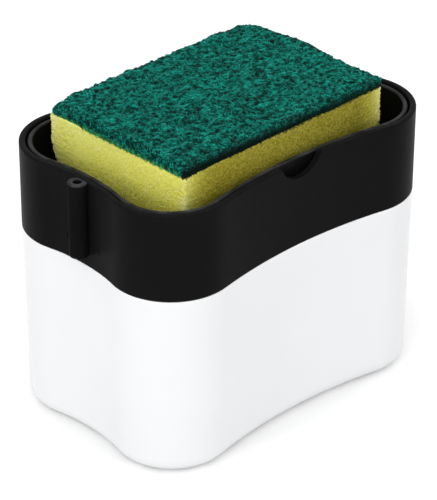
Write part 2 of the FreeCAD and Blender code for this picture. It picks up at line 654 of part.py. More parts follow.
def return_spring():
    """The compression spring between the pump's cap and the tray: one unbroken wire with closed end turns."""
    count = round(SPRING_TURNS * SPRING_ARCS_PER_TURN)
    places = [spring_place(index * SPRING_TURNS / count) for index in range(count + 1)]
    edges = []
    for here, there in zip(places, places[1:]):
        edges += arc_pair(*here, *there)
    start, direction = places[0]
    wire = Part.Wire(Part.makeCircle(SPRING_WIRE_RADIUS, start, direction))
    gap = min((spring_place(index / 8)[0] - spring_place(index / 8 + 1)[0]).Length
              for index in range(int(8 * (SPRING_TURNS - 1)) + 1)) - 2 * SPRING_WIRE_RADIUS
    print("least gap between the spring's turns", round(gap, 2))
    return Part.Wire(edges).makePipeShell([wire], True, False)


def sponge_layer(bottom, top):
    corners = [
        (Vector(across * SPONGE_LENGTH / 2, along * SPONGE_WIDTH / 2, bottom), SPONGE_CORNER_ROUND)
        for across, along in ((-1, -1), (1, -1), (1, 1), (-1, 1))
    ]
    return Part.Face(rounded_wire(corners)).extrude(UP * (top - bottom))


def sponge_foam():
    """The yellow foam block that stands on the tray's ribs."""
    return sponge_layer(SPONGE_Z, SPONGE_Z + FOAM_THICKNESS)


def scouring_pad():
    """The green fibre pad bonded to the top of the foam."""
    pad_z = SPONGE_Z + FOAM_THICKNESS
    return sponge_layer(pad_z, pad_z + PAD_THICKNESS)


PIECES = [
    reservoir, collar, end_socket, deck, lid_gasket, tray, soap_nozzle, pump_housing, pump_gasket,
    pump_ring_nut, pump_cap, ball_cage, inlet_ball, dip_tube, pump_stem, piston_seal, outlet_ball,
    return_spring, sponge_foam, scouring_pad,
]

os.makedirs("parts", exist_ok=True)
for piece in PIECES:
    shape = piece()
    shape.exportStep(f"parts/{piece.__name__}.step")
    print(piece.__name__, "valid", shape.isValid(), "solids", len(shape.Solids), "volume", round(shape.Volume, 1))
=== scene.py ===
import math

import bpy
import numpy as np
from mathutils import Matrix, Vector


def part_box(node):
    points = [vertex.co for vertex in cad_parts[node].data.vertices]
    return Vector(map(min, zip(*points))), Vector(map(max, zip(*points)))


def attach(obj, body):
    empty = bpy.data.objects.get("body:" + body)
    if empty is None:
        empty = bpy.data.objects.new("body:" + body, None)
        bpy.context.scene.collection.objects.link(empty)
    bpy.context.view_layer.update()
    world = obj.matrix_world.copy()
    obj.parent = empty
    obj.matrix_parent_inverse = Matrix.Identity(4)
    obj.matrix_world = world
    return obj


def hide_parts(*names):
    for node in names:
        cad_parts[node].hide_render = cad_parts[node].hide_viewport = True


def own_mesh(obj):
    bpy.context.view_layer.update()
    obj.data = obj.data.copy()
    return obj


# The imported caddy: every piece below is built in this frame, in metres
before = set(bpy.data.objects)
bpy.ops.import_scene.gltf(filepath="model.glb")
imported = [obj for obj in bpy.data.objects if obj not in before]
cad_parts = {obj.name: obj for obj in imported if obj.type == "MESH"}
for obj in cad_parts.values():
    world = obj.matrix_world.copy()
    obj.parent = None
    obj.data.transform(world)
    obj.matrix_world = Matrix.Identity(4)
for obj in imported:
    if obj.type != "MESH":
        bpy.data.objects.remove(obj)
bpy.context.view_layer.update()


# Reservoir: the soap tank that the rest stands in, an open box with drawn-in sides and round corners.
# It is injection moulded from white plastic, polished to a high gloss and a little cool in colour.
# Its foot carries a grey band, partly a worktop rub and partly painted contact shade, and its top edge a
# painted highlight.
def add_node(tree, kind, inputs=None, **settings):
    """One node of a tree, with its settings and its input values set."""
    made = tree.nodes.new(kind)
    for name, value in settings.items():
        setattr(made, name, value)
    for name, value in (inputs or {}).items():
        made.inputs[name].default_value = value
    return made


def feed(tree, value, socket):
    """Sets a socket to a number, or links another node's output to it."""
    if isinstance(value, (int, float)):
        socket.default_value = value
    else:
        tree.links.new(value, socket)


def reckon(tree, operation, first, second=0.0, third=0.0):
    """The result of one Math node."""
    made = add_node(tree, "ShaderNodeMath", operation=operation)
    for place, value in enumerate((first, second, third)):
        feed(tree, value, made.inputs[place])
    return made.outputs[0]


def rescale(tree, value, low, high, to_low, to_high):
    """A value carried from one range to another, and held inside it."""
    made = add_node(tree, "ShaderNodeMapRange")
    for place, given in enumerate((value, low, high, to_low, to_high)):
        feed(tree, given, made.inputs[place])
    return made.outputs[0]


def noise(tree, where, scale, detail=2.0, roughness=0.5):
    """A noise value, mostly between noise_low and noise_high, at a place."""
    made = add_node(tree, "ShaderNodeTexNoise", {"Detail": detail, "Roughness": roughness})
    feed(tree, scale, made.inputs["Scale"])
    tree.links.new(where, made.inputs["Vector"])
    return made.outputs["Fac"]


noise_low = 0.3
noise_high = 0.7


def signed(tree, value):
    """A noise value stretched to run from -1 to 1."""
    return rescale(tree, value, noise_low, noise_high, -1.0, 1.0)


def tint(tree, share, first, second):
    """A colour between two others; each is a colour or another node's output."""
    made = add_node(tree, "ShaderNodeMix", data_type="RGBA")
    feed(tree, share, made.inputs[0])
    for place, colour in ((6, first), (7, second)):
        if isinstance(colour, tuple):
            made.inputs[place].default_value = (*colour, 1.0)
        else:
            tree.links.new(colour, made.inputs[place])
    return made.outputs[2]


def scaled(tree, vector, factor):
    """A vector, fixed or from another node, times another node's output."""
    made = add_node(tree, "ShaderNodeVectorMath", operation="SCALE")
    if isinstance(vector, tuple):
        made.inputs[0].default_value = vector
    else:
        tree.links.new(vector, made.inputs[0])
    tree.links.new(factor, made.inputs["Scale"])
    return made.outputs[0]


def split(tree, vector):
    """The X, Y and Z outputs of a vector."""
    made = add_node(tree, "ShaderNodeSeparateXYZ")
    tree.links.new(vector, made.inputs[0])
    return made.outputs


def object_place(tree):
    """Where a point of the surface lies in the piece's own coordinates."""
    return add_node(tree, "ShaderNodeTexCoord").outputs["Object"]


def shader_group(name, inputs, outputs):
    """An empty shader group with named sockets: the tree, its input node and its output node."""
    tree = bpy.data.node_groups.new(name, "ShaderNodeTree")
    for label, kind, value in inputs:
        socket = tree.interface.new_socket(name=label, in_out="INPUT", socket_type=kind)
        socket.default_value = value
    for label, kind in outputs:
        tree.interface.new_socket(name=label, in_out="OUTPUT", socket_type=kind)
    return tree, tree.nodes.new("NodeGroupInput"), tree.nodes.new("NodeGroupOutput")


moulded_skin, skin_in, skin_out = shader_group(
    "moulded_skin",
    [
        ("Colour", "NodeSocketColor", (0.8, 0.8, 0.8, 1.0)),
        ("Mottle", "NodeSocketFloat", 0.05),
        ("Flow Scale", "NodeSocketFloat", 30.0),
        ("Grain Scale", "NodeSocketFloat", 1500.0),
        ("Roughness", "NodeSocketFloat", 0.3),
        ("Roughness Spread", "NodeSocketFloat", 0.05),
    ],
    [
        ("Colour", "NodeSocketColor"),
        ("Roughness", "NodeSocketFloat"),
        ("Height", "NodeSocketFloat"),
    ],
)
skin_place = object_place(moulded_skin)
flow = signed(moulded_skin, noise(moulded_skin, skin_place, skin_in.outputs["Flow Scale"], 3.0))
mottle = reckon(moulded_skin, "MULTIPLY_ADD", flow, skin_in.outputs["Mottle"], 1.0)
mottled = scaled(moulded_skin, skin_in.outputs["Colour"], mottle)
moulded_skin.links.new(mottled, skin_out.inputs["Colour"])
grain = noise(moulded_skin, skin_place, skin_in.outputs["Grain Scale"])
uneven = reckon(moulded_skin, "ADD", flow, signed(moulded_skin, grain))
gloss = reckon(
    moulded_skin, "MULTIPLY_ADD", uneven, skin_in.outputs["Roughness Spread"], skin_in.outputs["Roughness"]
)
moulded_skin.links.new(gloss, skin_out.inputs["Roughness"])
moulded_skin.links.new(grain, skin_out.inputs["Height"])

# A band at one height, used for painted highlights and painted shade along edges, and for a rub at the
# foot.
rub_and_painted_light_band, band_in, band_out = shader_group(
    "rub_and_painted_light_band",
    [
        ("Height", "NodeSocketFloat", 0.0),
        ("Width", "NodeSocketFloat", 0.001),
        ("Break Scale", "NodeSocketFloat", 200.0),
    ],
    [("Mask", "NodeSocketFloat")],
)
band_point = object_place(rub_and_painted_light_band)
band_off = reckon(rub_and_painted_light_band, "SUBTRACT", split(rub_and_painted_light_band, band_point)["Z"], band_in.outputs["Height"])
band_far = reckon(rub_and_painted_light_band, "DIVIDE", reckon(rub_and_painted_light_band, "ABSOLUTE", band_off), band_in.outputs["Width"])
band_near = rescale(rub_and_painted_light_band, band_far, 0.0, 1.0, 1.0, 0.0)
band_breaks = noise(rub_and_painted_light_band, band_point, band_in.outputs["Break Scale"], 4.0, 0.6)
band_kept = rescale(rub_and_painted_light_band, band_breaks, 0.35, 0.65, 0.25, 1.0)
rub_and_painted_light_band.links.new(reckon(rub_and_painted_light_band, "MULTIPLY", band_near, band_kept), band_out.inputs["Mask"])


def new_material(name):
    """A material with nodes: the material, its tree and its shader."""
    made = bpy.data.materials.new(name)
    made.use_nodes = True
    return made, made.node_tree, made.node_tree.nodes["Principled BSDF"]


def plastic(name, skin, specular, bump, light_and_rub_bands=()):
    """A moulded plastic: the skin group sets colour, gloss and grain, and each band blends in over it.
    A band is (height, width, break scale, band colour, strength); bands paint highlights and shade along
    edges, and the foot's band is also a rub."""
    made, tree, shader = new_material(name)
    shader.inputs["Specular IOR Level"].default_value = specular
    shell = add_node(tree, "ShaderNodeGroup", skin, node_tree=moulded_skin)
    colour = shell.outputs["Colour"]
    for height, width, breaks, band_colour, strength in light_and_rub_bands:
        band_place = {"Height": height, "Width": width, "Break Scale": breaks}
        band = add_node(tree, "ShaderNodeGroup", band_place, node_tree=rub_and_painted_light_band)
        share = reckon(tree, "MULTIPLY", band.outputs["Mask"], strength)
        colour = tint(tree, share, colour, band_colour)
    tree.links.new(colour, shader.inputs["Base Color"])
    tree.links.new(shell.outputs["Roughness"], shader.inputs["Roughness"])
    relief = add_node(tree, "ShaderNodeBump", {"Strength": 1.0, "Distance": bump})
    tree.links.new(shell.outputs["Height"], relief.inputs["Height"])
    tree.links.new(relief.outputs["Normal"], shader.inputs["Normal"])
    return made


def dress(material, *nodes):
    """Gives CAD nodes a material."""
    for name in nodes:
        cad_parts[name].material_slots[0].material = material


foot_z = 0.0
seam_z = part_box("reservoir")[1].z
white_gloss = plastic(
    "white_gloss",
    {
        "Colour": (0.824, 0.831, 0.843, 1.0),
        "Mottle": 0.012,
        "Flow Scale": 22.0,
        "Grain Scale": 700.0,
        "Roughness": 0.2,
        "Roughness Spread": 0.03,
    },
    specular=0.25,
    bump=0.000004,
    light_and_rub_bands=[
        # Grey band at the foot: partly a worktop rub, partly painted contact shade.
        (foot_z, 0.0030, 120.0, (0.36, 0.36, 0.37), 0.9),
        # Bright band at the top edge: a painted highlight under the collar.
        (seam_z, 0.0010, 60.0, (0.98, 0.98, 0.98), 0.9),
    ],
)
dress(white_gloss, "reservoir")


# Collar and socket: the black ring that lifts off the reservoir, with a finger notch in one long side,
# and the small upright tube on its end wall. Both are moulded in black plastic with a satin texture.
# Painted highlights run along the rim and the seam and round the tube's top ring.
rim_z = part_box("collar")[1].z
satin_grain = 0.00001
satin_skin = {
    "Colour": (0.0066, 0.0066, 0.0068, 1.0),
    "Mottle": 0.12,
    "Flow Scale": 35.0,
    "Grain Scale": 2600.0,
    "Roughness": 0.42,
    "Roughness Spread": 0.05,
}
collar_black = plastic(
    "collar_black",
    satin_skin,
    specular=0.018,
    bump=satin_grain,
    light_and_rub_bands=[
        # The lighter bands on the rim and the lower edge are painted highlights.
        (rim_z, 0.0006, 160.0, (0.016, 0.016, 0.0165), 0.6),
        (seam_z, 0.0007, 260.0, (0.03, 0.03, 0.031), 0.7),
    ],
)
socket_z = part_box("end_socket")[1].z
socket_black = plastic(
    "socket_black",
    {**satin_skin, "Colour": (0.0064, 0.0064, 0.0066, 1.0)},
    specular=0.004,
    bump=satin_grain,
    # The lighter band round the top ring is a painted highlight.
    light_and_rub_bands=[(socket_z, 0.0006, 300.0, (0.085, 0.085, 0.087), 0.8)],
)
dress(collar_black, "collar")
dress(socket_black, "end_socket")


# Deck and lid gasket: the plate with a round well that closes the reservoir under the collar,
# and the soft ring in its groove.
# The deck is the collar's plastic, pressed in and snapped; the ring is cast silicone.
coarse_grain = 0.000012
deck_black = plastic("deck_black", satin_skin, specular=0.1, bump=coarse_grain)
silicone = plastic(
    "silicone",
    {
        "Colour": (0.52, 0.54, 0.54, 1.0),
        "Mottle": 0.05,
        "Flow Scale": 120.0,
        "Grain Scale": 1800.0,
        "Roughness": 0.52,
        "Roughness Spread": 0.05,
    },
    specular=0.35,
    bump=0.000008,
)
dress(deck_black, "deck")
dress(silicone, "lid_gasket", "pump_gasket", "piston_seal")


# Pump: the barrel hung in the well with its nut, cap, valve cage, balls and dip tube, and the hollow stem.
# The moulded pieces are milky plastic, the nut is black, the balls are polished steel,
# and the tube is cut from pale extruded hose.
pump_white = plastic(
    "pump_white",
    {
        "Colour": (0.74, 0.76, 0.75, 1.0),
        "Mottle": 0.035,
        "Flow Scale": 90.0,
        "Grain Scale": 1500.0,
        "Roughness": 0.36,
        "Roughness Spread": 0.05,
    },
    specular=0.45,
    bump=0.000006,
)
nut_black = plastic("nut_black", satin_skin, specular=0.3, bump=coarse_grain)
tube_pale = plastic(
    "tube_pale",
    {
        "Colour": (0.70, 0.75, 0.75, 1.0),
        "Mottle": 0.04,
        "Flow Scale": 60.0,
        "Grain Scale": 900.0,
        "Roughness": 0.16,
        "Roughness Spread": 0.03,
    },
    specular=0.5,
    bump=0.000004,
)

worked_steel, steel_in, steel_out = shader_group(
    "worked_steel",
    [
        ("Dark", "NodeSocketColor", (0.4, 0.4, 0.4, 1.0)),
        ("Light", "NodeSocketColor", (0.6, 0.6, 0.6, 1.0)),
        ("Mark Scale", "NodeSocketFloat", 900.0),
        ("Roughness Low", "NodeSocketFloat", 0.1),
        ("Roughness High", "NodeSocketFloat", 0.2),
    ],
    [("Colour", "NodeSocketColor"), ("Roughness", "NodeSocketFloat")],
)
steel_place = object_place(worked_steel)
steel_marks = noise(worked_steel, steel_place, steel_in.outputs["Mark Scale"], 3.0, 0.6)
steel_share = rescale(worked_steel, steel_marks, noise_low, noise_high, 0.0, 1.0)
steel_colour = tint(worked_steel, steel_share, steel_in.outputs["Dark"], steel_in.outputs["Light"])
worked_steel.links.new(steel_colour, steel_out.inputs["Colour"])
steel_gloss = rescale(
    worked_steel,
    steel_share,
    0.0,
    1.0,
    steel_in.outputs["Roughness Low"],
    steel_in.outputs["Roughness High"],
)
worked_steel.links.new(steel_gloss, steel_out.inputs["Roughness"])


def steel(name, colour, roughness, scale):
    """Bare steel with fine drawing or tumbling marks, a little darker and smoother or rougher in places."""
    made, tree, shader = new_material(name)
    shader.inputs["Metallic"].default_value = 1.0
    marks = {
        "Dark": (*(0.75 * part for part in colour), 1.0),
        "Light": (*colour, 1.0),
        "Mark Scale": scale,
        "Roughness Low": roughness * 0.7,
        "Roughness High": roughness * 1.3,
    }
    worked = add_node(tree, "ShaderNodeGroup", marks, node_tree=worked_steel)
    tree.links.new(worked.outputs["Colour"], shader.inputs["Base Color"])
    tree.links.new(worked.outputs["Roughness"], shader.inputs["Roughness"])
    return made


ball_steel = steel("ball_steel", colour=(0.62, 0.62, 0.61), roughness=0.14, scale=900.0)
dress(pump_white, "pump_housing", "pump_cap", "ball_cage", "pump_stem")
dress(nut_black, "pump_ring_nut")
dress(tube_pale, "dip_tube")
dress(ball_steel, "inlet_ball", "outlet_ball")


# Return spring: a compression spring round the stem, from the pump's cap to the tray's underside.
# It is wound from round steel wire, with closer turns at both ends.
# It stands on the cap.
def geometry_tree(name, inputs):
    """An empty geometry tree with a Geometry input and output and named inputs."""
    tree = bpy.data.node_groups.new(name, "GeometryNodeTree")
    tree.interface.new_socket(name="Geometry", in_out="INPUT", socket_type="NodeSocketGeometry")
    for label, kind in inputs:
        tree.interface.new_socket(name=label, in_out="INPUT", socket_type=kind)
    tree.interface.new_socket(name="Geometry", in_out="OUTPUT", socket_type="NodeSocketGeometry")
    return tree, tree.nodes.new("NodeGroupInput"), tree.nodes.new("NodeGroupOutput")


def place_object(name, data):
    """A new object in the scene."""
    made = bpy.data.objects.new(name, data)
    bpy.context.scene.collection.objects.link(made)
    return made


def grow(name, mesh, tree, values):
    """A new piece made by a geometry tree from a mesh, as a plain mesh with no modifier left."""
    piece = place_object(name, mesh)
    modifier = piece.modifiers.new(tree.name, "NODES")
    modifier.node_group = tree
    for item in tree.interface.items_tree:
        if item.in_out == "INPUT" and item.name in values:
            modifier[item.identifier] = values[item.name]
    graph = bpy.context.evaluated_depsgraph_get()
    made = bpy.data.meshes.new_from_object(
        piece.evaluated_get(graph), preserve_all_data_layers=True, depsgraph=graph
    )
    piece.modifiers.clear()
    piece.data = made
    made.name = name
    return piece


def close_tree(tree, geometry, finish, end):
    """Ends a geometry tree in Realize Instances and Set Material."""
    real = add_node(tree, "GeometryNodeRealizeInstances")
    tree.links.new(geometry, real.inputs[0])
    coat = add_node(tree, "GeometryNodeSetMaterial")
    tree.links.new(real.outputs[0], coat.inputs["Geometry"])
    tree.links.new(finish, coat.inputs["Material"])
    tree.links.new(coat.outputs[0], end.inputs["Geometry"])


spring_low, spring_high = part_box("return_spring")
spring_height = spring_high.z - spring_low.z
wire_radius = 0.00055
coil, coil_in, coil_out = geometry_tree(
    "coil_spring",
    [
        ("Foot", "NodeSocketFloat"),
        ("Height", "NodeSocketFloat"),
        ("Coil Radius", "NodeSocketFloat"),
        ("Wire Radius", "NodeSocketFloat"),
        ("Turns", "NodeSocketFloat"),
        ("End Closing", "NodeSocketFloat"),
        ("Finish", "NodeSocketMaterial"),
    ],
)
coil_line = add_node(coil, "GeometryNodeCurvePrimitiveLine")
coil_points = add_node(coil, "GeometryNodeResampleCurve", {"Count": 330})
coil.links.new(coil_line.outputs["Curve"], coil_points.inputs["Curve"])
along = add_node(coil, "GeometryNodeSplineParameter").outputs["Factor"]
turned = reckon(coil, "MULTIPLY", along, coil_in.outputs["Turns"])
angle = reckon(coil, "MULTIPLY", turned, math.tau)
wave = reckon(coil, "SINE", reckon(coil, "MULTIPLY", along, math.tau))
closing = reckon(coil, "MULTIPLY", wave, reckon(coil, "DIVIDE", coil_in.outputs["End Closing"], -math.tau))
climb = reckon(coil, "ADD", along, closing)
wire_place = add_node(coil, "ShaderNodeCombineXYZ")
across_x = reckon(coil, "MULTIPLY", reckon(coil, "COSINE", angle), coil_in.outputs["Coil Radius"])
across_y = reckon(coil, "MULTIPLY", reckon(coil, "SINE", angle), coil_in.outputs["Coil Radius"])
height_up = reckon(coil, "MULTIPLY_ADD", climb, coil_in.outputs["Height"], coil_in.outputs["Foot"])
coil.links.new(across_x, wire_place.inputs["X"])
coil.links.new(across_y, wire_place.inputs["Y"])
coil.links.new(height_up, wire_place.inputs["Z"])
coil_shape = add_node(coil, "GeometryNodeSetPosition")
coil.links.new(coil_points.outputs["Curve"], coil_shape.inputs["Geometry"])
coil.links.new(wire_place.outputs[0], coil_shape.inputs["Position"])
wire_round = add_node(coil, "GeometryNodeCurvePrimitiveCircle", {"Resolution": 12})
coil.links.new(coil_in.outputs["Wire Radius"], wire_round.inputs["Radius"])
wire = add_node(coil, "GeometryNodeCurveToMesh", {"Fill Caps": True})
coil.links.new(coil_shape.outputs[0], wire.inputs["Curve"])
coil.links.new(wire_round.outputs["Curve"], wire.inputs["Profile Curve"])
close_tree(coil, wire.outputs["Mesh"], coil_in.outputs["Finish"], coil_out)

spring_steel = steel("spring_steel", colour=(0.55, 0.55, 0.54), roughness=0.24, scale=2200.0)
spring = grow(
    "spring",
    bpy.data.meshes.new("spring_start"),
    coil,
    {
        "Foot": spring_low.z + wire_radius,
        "Height": spring_height - 2 * wire_radius,
        "Coil Radius": spring_high.x - wire_radius,
        "Wire Radius": wire_radius,
        "Turns": 6.5,
        "End Closing": 0.6,
        "Finish": spring_steel,
    },
)
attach(spring, "collar")
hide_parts("return_spring")
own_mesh(spring)


# Tray and soap nozzle: the black tray that is pressed down on the pump, with ribs that carry the sponge,
# and the milky domed nozzle in the middle of its floor.
# The tray is a deeper black than the collar, and a painted highlight runs along its rim; the nozzle is
# pressed into its hub.
tray_rim_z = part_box("tray")[1].z
tray_black = plastic(
    "tray_black",
    {**satin_skin, "Colour": (0.0040, 0.0040, 0.0042, 1.0)},
    specular=0.03,
    bump=satin_grain,
    # The lighter band on the rim is a painted highlight.
    light_and_rub_bands=[(tray_rim_z, 0.0007, 140.0, (0.07, 0.07, 0.071), 0.8)],
)
dress(tray_black, "tray")
dress(pump_white, "soap_nozzle")


# Sponge foam: the yellow block that stands on the tray's ribs.
# It is cut from open-cell polyurethane foam, so its sides show cut pores and its corners are ragged.
# It leans a little and is bonded to the pad on its upper face.
def block_shell(counts):
    """A closed block's points, from 0 to 1 along each axis, and its square faces."""
    squares = []
    for axis in range(3):
        u, v = (axis + 1) % 3, (axis + 2) % 3
        i, j = np.meshgrid(np.arange(counts[u]), np.arange(counts[v]), indexing="ij")
        for side in (0, counts[axis]):
            corner = np.zeros((i.size, 4, 3), int)
            corner[..., axis] = side
            for place, (right, up) in enumerate(((0, 0), (1, 0), (1, 1), (0, 1))):
                corner[:, place, u] = i.ravel() + right
                corner[:, place, v] = j.ravel() + up
            squares.append(corner if side else corner[:, ::-1])
    squares = np.concatenate(squares)
    key = (squares[..., 0] * (counts[1] + 1) + squares[..., 1]) * (counts[2] + 1) + squares[..., 2]
    first, index = np.unique(key.ravel(), return_index=True)
    faces = np.searchsorted(first, key)
    points = squares.reshape(-1, 3)[index] / np.array(counts, float)
    return points, faces


def round_corners(x, y, half_x, half_y, radius):
    """Pushes the upright corners of a block with these half sizes in to a radius."""
    over_x = np.sign(x) * np.maximum(np.abs(x) - (half_x - radius), 0.0)
    over_y = np.sign(y) * np.maximum(np.abs(y) - (half_y - radius), 0.0)
    longest = np.maximum(np.abs(over_x), np.abs(over_y))
    length = np.hypot(over_x, over_y)
    share = np.where(length > 1e-9, longest / np.maximum(length, 1e-9), 1.0)
    return x - over_x * (1 - share), y - over_y * (1 - share)


def make_mesh(name, points, faces):
    """A mesh from arrays of points and faces, smooth shaded."""
    mesh = bpy.data.meshes.new(name)
    mesh.from_pydata(points.tolist(), [], faces.tolist())
    mesh.polygons.foreach_set("use_smooth", [True] * len(mesh.polygons))
    mesh.update()
    return mesh


bond_middle_z = 0.11393
bond_slope = 0.023


def bond_height(x, y):
    """Height of the glued joint between foam and pad."""
    return bond_middle_z + bond_slope * x - bond_slope * y


foam_low, foam_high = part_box("sponge_foam")
foam_foot = foam_high - foam_low
foam_head = Vector((0.0956, 0.0688))
foam_radius = 0.0009
widening_share = 0.6
sponge_lean = Vector((0.0, 0.0008))
left_flare = 0.0010
left_flare_reach = 0.012
ragged_reach = 0.0030
# The foam's long sides are painted darker as shade, most towards the +X end.
side_shade_depth = 0.0006
side_shade_fade = 0.0120
foam_points, foam_faces = block_shell((198, 142, 54))
rise = foam_points[:, 2]
ease = np.clip(rise / widening_share, 0.0, 1.0)
ease = ease * ease * (3 - 2 * ease)
half_x = (foam_foot.x + (foam_head.x - foam_foot.x) * ease) / 2
half_y = (foam_foot.y + (foam_head.y - foam_foot.y) * ease) / 2
foam_x = (2 * foam_points[:, 0] - 1) * half_x
foam_y = (2 * foam_points[:, 1] - 1) * half_y
side_gap = half_y - np.abs(foam_y)
corner_gap = np.maximum(half_x - np.abs(foam_x), side_gap)
foam_x, foam_y = round_corners(foam_x, foam_y, half_x, half_y, foam_radius)
left_corner = np.hypot(foam_x + half_x, foam_y - half_y)
flare = left_flare * ease * np.exp(-((left_corner / left_flare_reach) ** 2))
foam_x = foam_x + sponge_lean.x * ease - flare
foam_y = foam_y + sponge_lean.y * ease + flare
foam_z = foam_low.z + (bond_height(foam_x, foam_y) - foam_low.z) * rise
foam_start = make_mesh("foam_start", np.stack((foam_x, foam_y, foam_z), 1), foam_faces)
ragged = np.exp(-((corner_gap / ragged_reach) ** 2))
side_shade_mark = np.clip(1.0 - side_gap / side_shade_depth, 0.0, 1.0)
side_shade_mark = side_shade_mark * np.clip(corner_gap / side_shade_fade, 0.0, 1.0) ** 0.5
for mark_name, mark_values in (("corner", ragged), ("painted_side_shade", side_shade_mark)):
    point_mark = foam_start.attributes.new(mark_name, "FLOAT", "POINT")
    point_mark.data.foreach_set("value", mark_values.astype(np.float32))

pores, pores_in, pores_out = geometry_tree(
    "foam_pores",
    [
        ("Pore Size", "NodeSocketFloat"),
        ("Pore Depth", "NodeSocketFloat"),
        ("Open Share", "NodeSocketFloat"),
        ("Fine Size", "NodeSocketFloat"),
        ("Fine Depth", "NodeSocketFloat"),
        ("Swell Size", "NodeSocketFloat"),
        ("Swell", "NodeSocketFloat"),
        ("Ragged", "NodeSocketFloat"),
        ("Finish", "NodeSocketMaterial"),
    ],
)
pore_place = add_node(pores, "GeometryNodeInputPosition").outputs[0]
cells = add_node(pores, "ShaderNodeTexVoronoi", {"Randomness": 1.0})
pores.links.new(pore_place, cells.inputs["Vector"])
pores.links.new(reckon(pores, "DIVIDE", 1.0, pores_in.outputs["Pore Size"]), cells.inputs["Scale"])
cell_draw = split(pores, cells.outputs["Color"])["X"]
open_cell = reckon(pores, "LESS_THAN", cell_draw, pores_in.outputs["Open Share"])
bowl = rescale(pores, cells.outputs["Distance"], 0.15, 0.5, 1.0, 0.0)
pit = reckon(pores, "MULTIPLY", open_cell, bowl)
fine_scale = reckon(pores, "DIVIDE", 1.0, pores_in.outputs["Fine Size"])
fine = signed(pores, noise(pores, pore_place, fine_scale))
swell_scale = reckon(pores, "DIVIDE", 1.0, pores_in.outputs["Swell Size"])
swell = signed(pores, noise(pores, pore_place, swell_scale, 1.0))
push = reckon(pores, "MULTIPLY", pit, reckon(pores, "MULTIPLY", pores_in.outputs["Pore Depth"], -1.0))
push = reckon(pores, "MULTIPLY_ADD", fine, pores_in.outputs["Fine Depth"], push)
push = reckon(pores, "MULTIPLY_ADD", swell, pores_in.outputs["Swell"], push)
corner = add_node(pores, "GeometryNodeInputNamedAttribute", {"Name": "corner"}, data_type="FLOAT")
tear = reckon(pores, "MULTIPLY", corner.outputs["Attribute"], pores_in.outputs["Ragged"])
push = reckon(pores, "MULTIPLY_ADD", fine, tear, push)
outward = scaled(pores, add_node(pores, "GeometryNodeInputNormal").outputs[0], push)
pore_mark = add_node(
    pores, "GeometryNodeStoreNamedAttribute", {"Name": "pit"}, data_type="FLOAT", domain="POINT"
)
pores.links.new(pores_in.outputs["Geometry"], pore_mark.inputs["Geometry"])
pores.links.new(pit, pore_mark.inputs["Value"])
pore_shape = add_node(pores, "GeometryNodeSetPosition")
pores.links.new(pore_mark.outputs[0], pore_shape.inputs["Geometry"])
pores.links.new(outward, pore_shape.inputs["Offset"])
close_tree(pores, pore_shape.outputs[0], pores_in.outputs["Finish"], pores_out)


def mesh_mark(tree, name):
    """The value of an attribute that the piece's mesh carries."""
    return add_node(tree, "ShaderNodeAttribute", attribute_name=name).outputs["Fac"]


def reach_along(tree, vector, way):
    """How far a vector reaches along a fixed direction."""
    made = add_node(tree, "ShaderNodeVectorMath", operation="DOT_PRODUCT")
    made.inputs[1].default_value = way
    tree.links.new(vector, made.inputs[0])
    return made.outputs["Value"]


foam_yellow, foam_tree, foam_shader = new_material("foam_yellow")
foam_shader.inputs["Roughness"].default_value = 0.9
foam_shader.inputs["Specular IOR Level"].default_value = 0.1
foam_place = object_place(foam_tree)
cloud = rescale(foam_tree, noise(foam_tree, foam_place, 120.0, 3.0), 0.35, 0.65, 0.0, 1.0)
speck = rescale(foam_tree, noise(foam_tree, foam_place, 1500.0, 2.0, 0.7), 0.38, 0.62, 0.0, 1.0)
bright_cell = rescale(foam_tree, noise(foam_tree, foam_place, 1100.0, 1.0), 0.58, 0.72, 0.0, 0.6)
# Painted shade in the open pores.
pit_shade_share = reckon(foam_tree, "MULTIPLY", mesh_mark(foam_tree, "pit"), 0.28)
# Painted shade on the long sides, darker towards the +X end.
side_shade_share = reckon(foam_tree, "MULTIPLY", mesh_mark(foam_tree, "painted_side_shade"), 0.92)
# Painted highlight along the upright corners, broken up by the cloud noise.
corner_highlight_cloud = rescale(foam_tree, cloud, 0.0, 1.0, 0.15, 0.45)
corner_highlight_share = reckon(foam_tree, "MULTIPLY", mesh_mark(foam_tree, "corner"), corner_highlight_cloud)
foam_level = reach_along(foam_tree, foam_place, (-0.2, 0.25, 1.0))
faded = rescale(foam_tree, foam_level, 0.108, 0.130, 0.0, 0.7)
speck_least = rescale(foam_tree, foam_level, 0.098, 0.116, 0.10, 0.86)
speck_share = rescale(foam_tree, speck, 0.0, 1.0, speck_least, 1.0)
side_shade_far = rescale(foam_tree, split(foam_tree, foam_place)["X"], -0.044, 0.002, 0.0, 1.0)
side_shade_low = tint(foam_tree, side_shade_far, (0.205, 0.165, 0.007), (0.145, 0.120, 0.007))
side_shade_high = tint(foam_tree, side_shade_far, (0.41, 0.355, 0.034), (0.30, 0.268, 0.032))
side_shade_tone = tint(foam_tree, speck, side_shade_low, side_shade_high)
foam_colour = tint(foam_tree, cloud, (0.97, 0.95, 0.13), (0.99, 0.98, 0.18))
foam_colour = tint(foam_tree, faded, foam_colour, (0.82, 0.83, 0.25))
foam_colour = tint(foam_tree, speck_share, (0.60, 0.54, 0.03), foam_colour)
foam_colour = tint(foam_tree, bright_cell, foam_colour, (0.97, 0.96, 0.48))
foam_colour = tint(foam_tree, pit_shade_share, foam_colour, (0.55, 0.49, 0.03))
foam_colour = tint(foam_tree, side_shade_share, foam_colour, side_shade_tone)
foam_colour = tint(foam_tree, corner_highlight_share, foam_colour, (0.93, 0.91, 0.50))
foam_tree.links.new(foam_colour, foam_shader.inputs["Base Color"])
foam_relief = add_node(foam_tree, "ShaderNodeBump", {"Strength": 0.6, "Distance": 0.0002})
foam_tree.links.new(speck, foam_relief.inputs["Height"])
foam_tree.links.new(foam_relief.outputs["Normal"], foam_shader.inputs["Normal"])

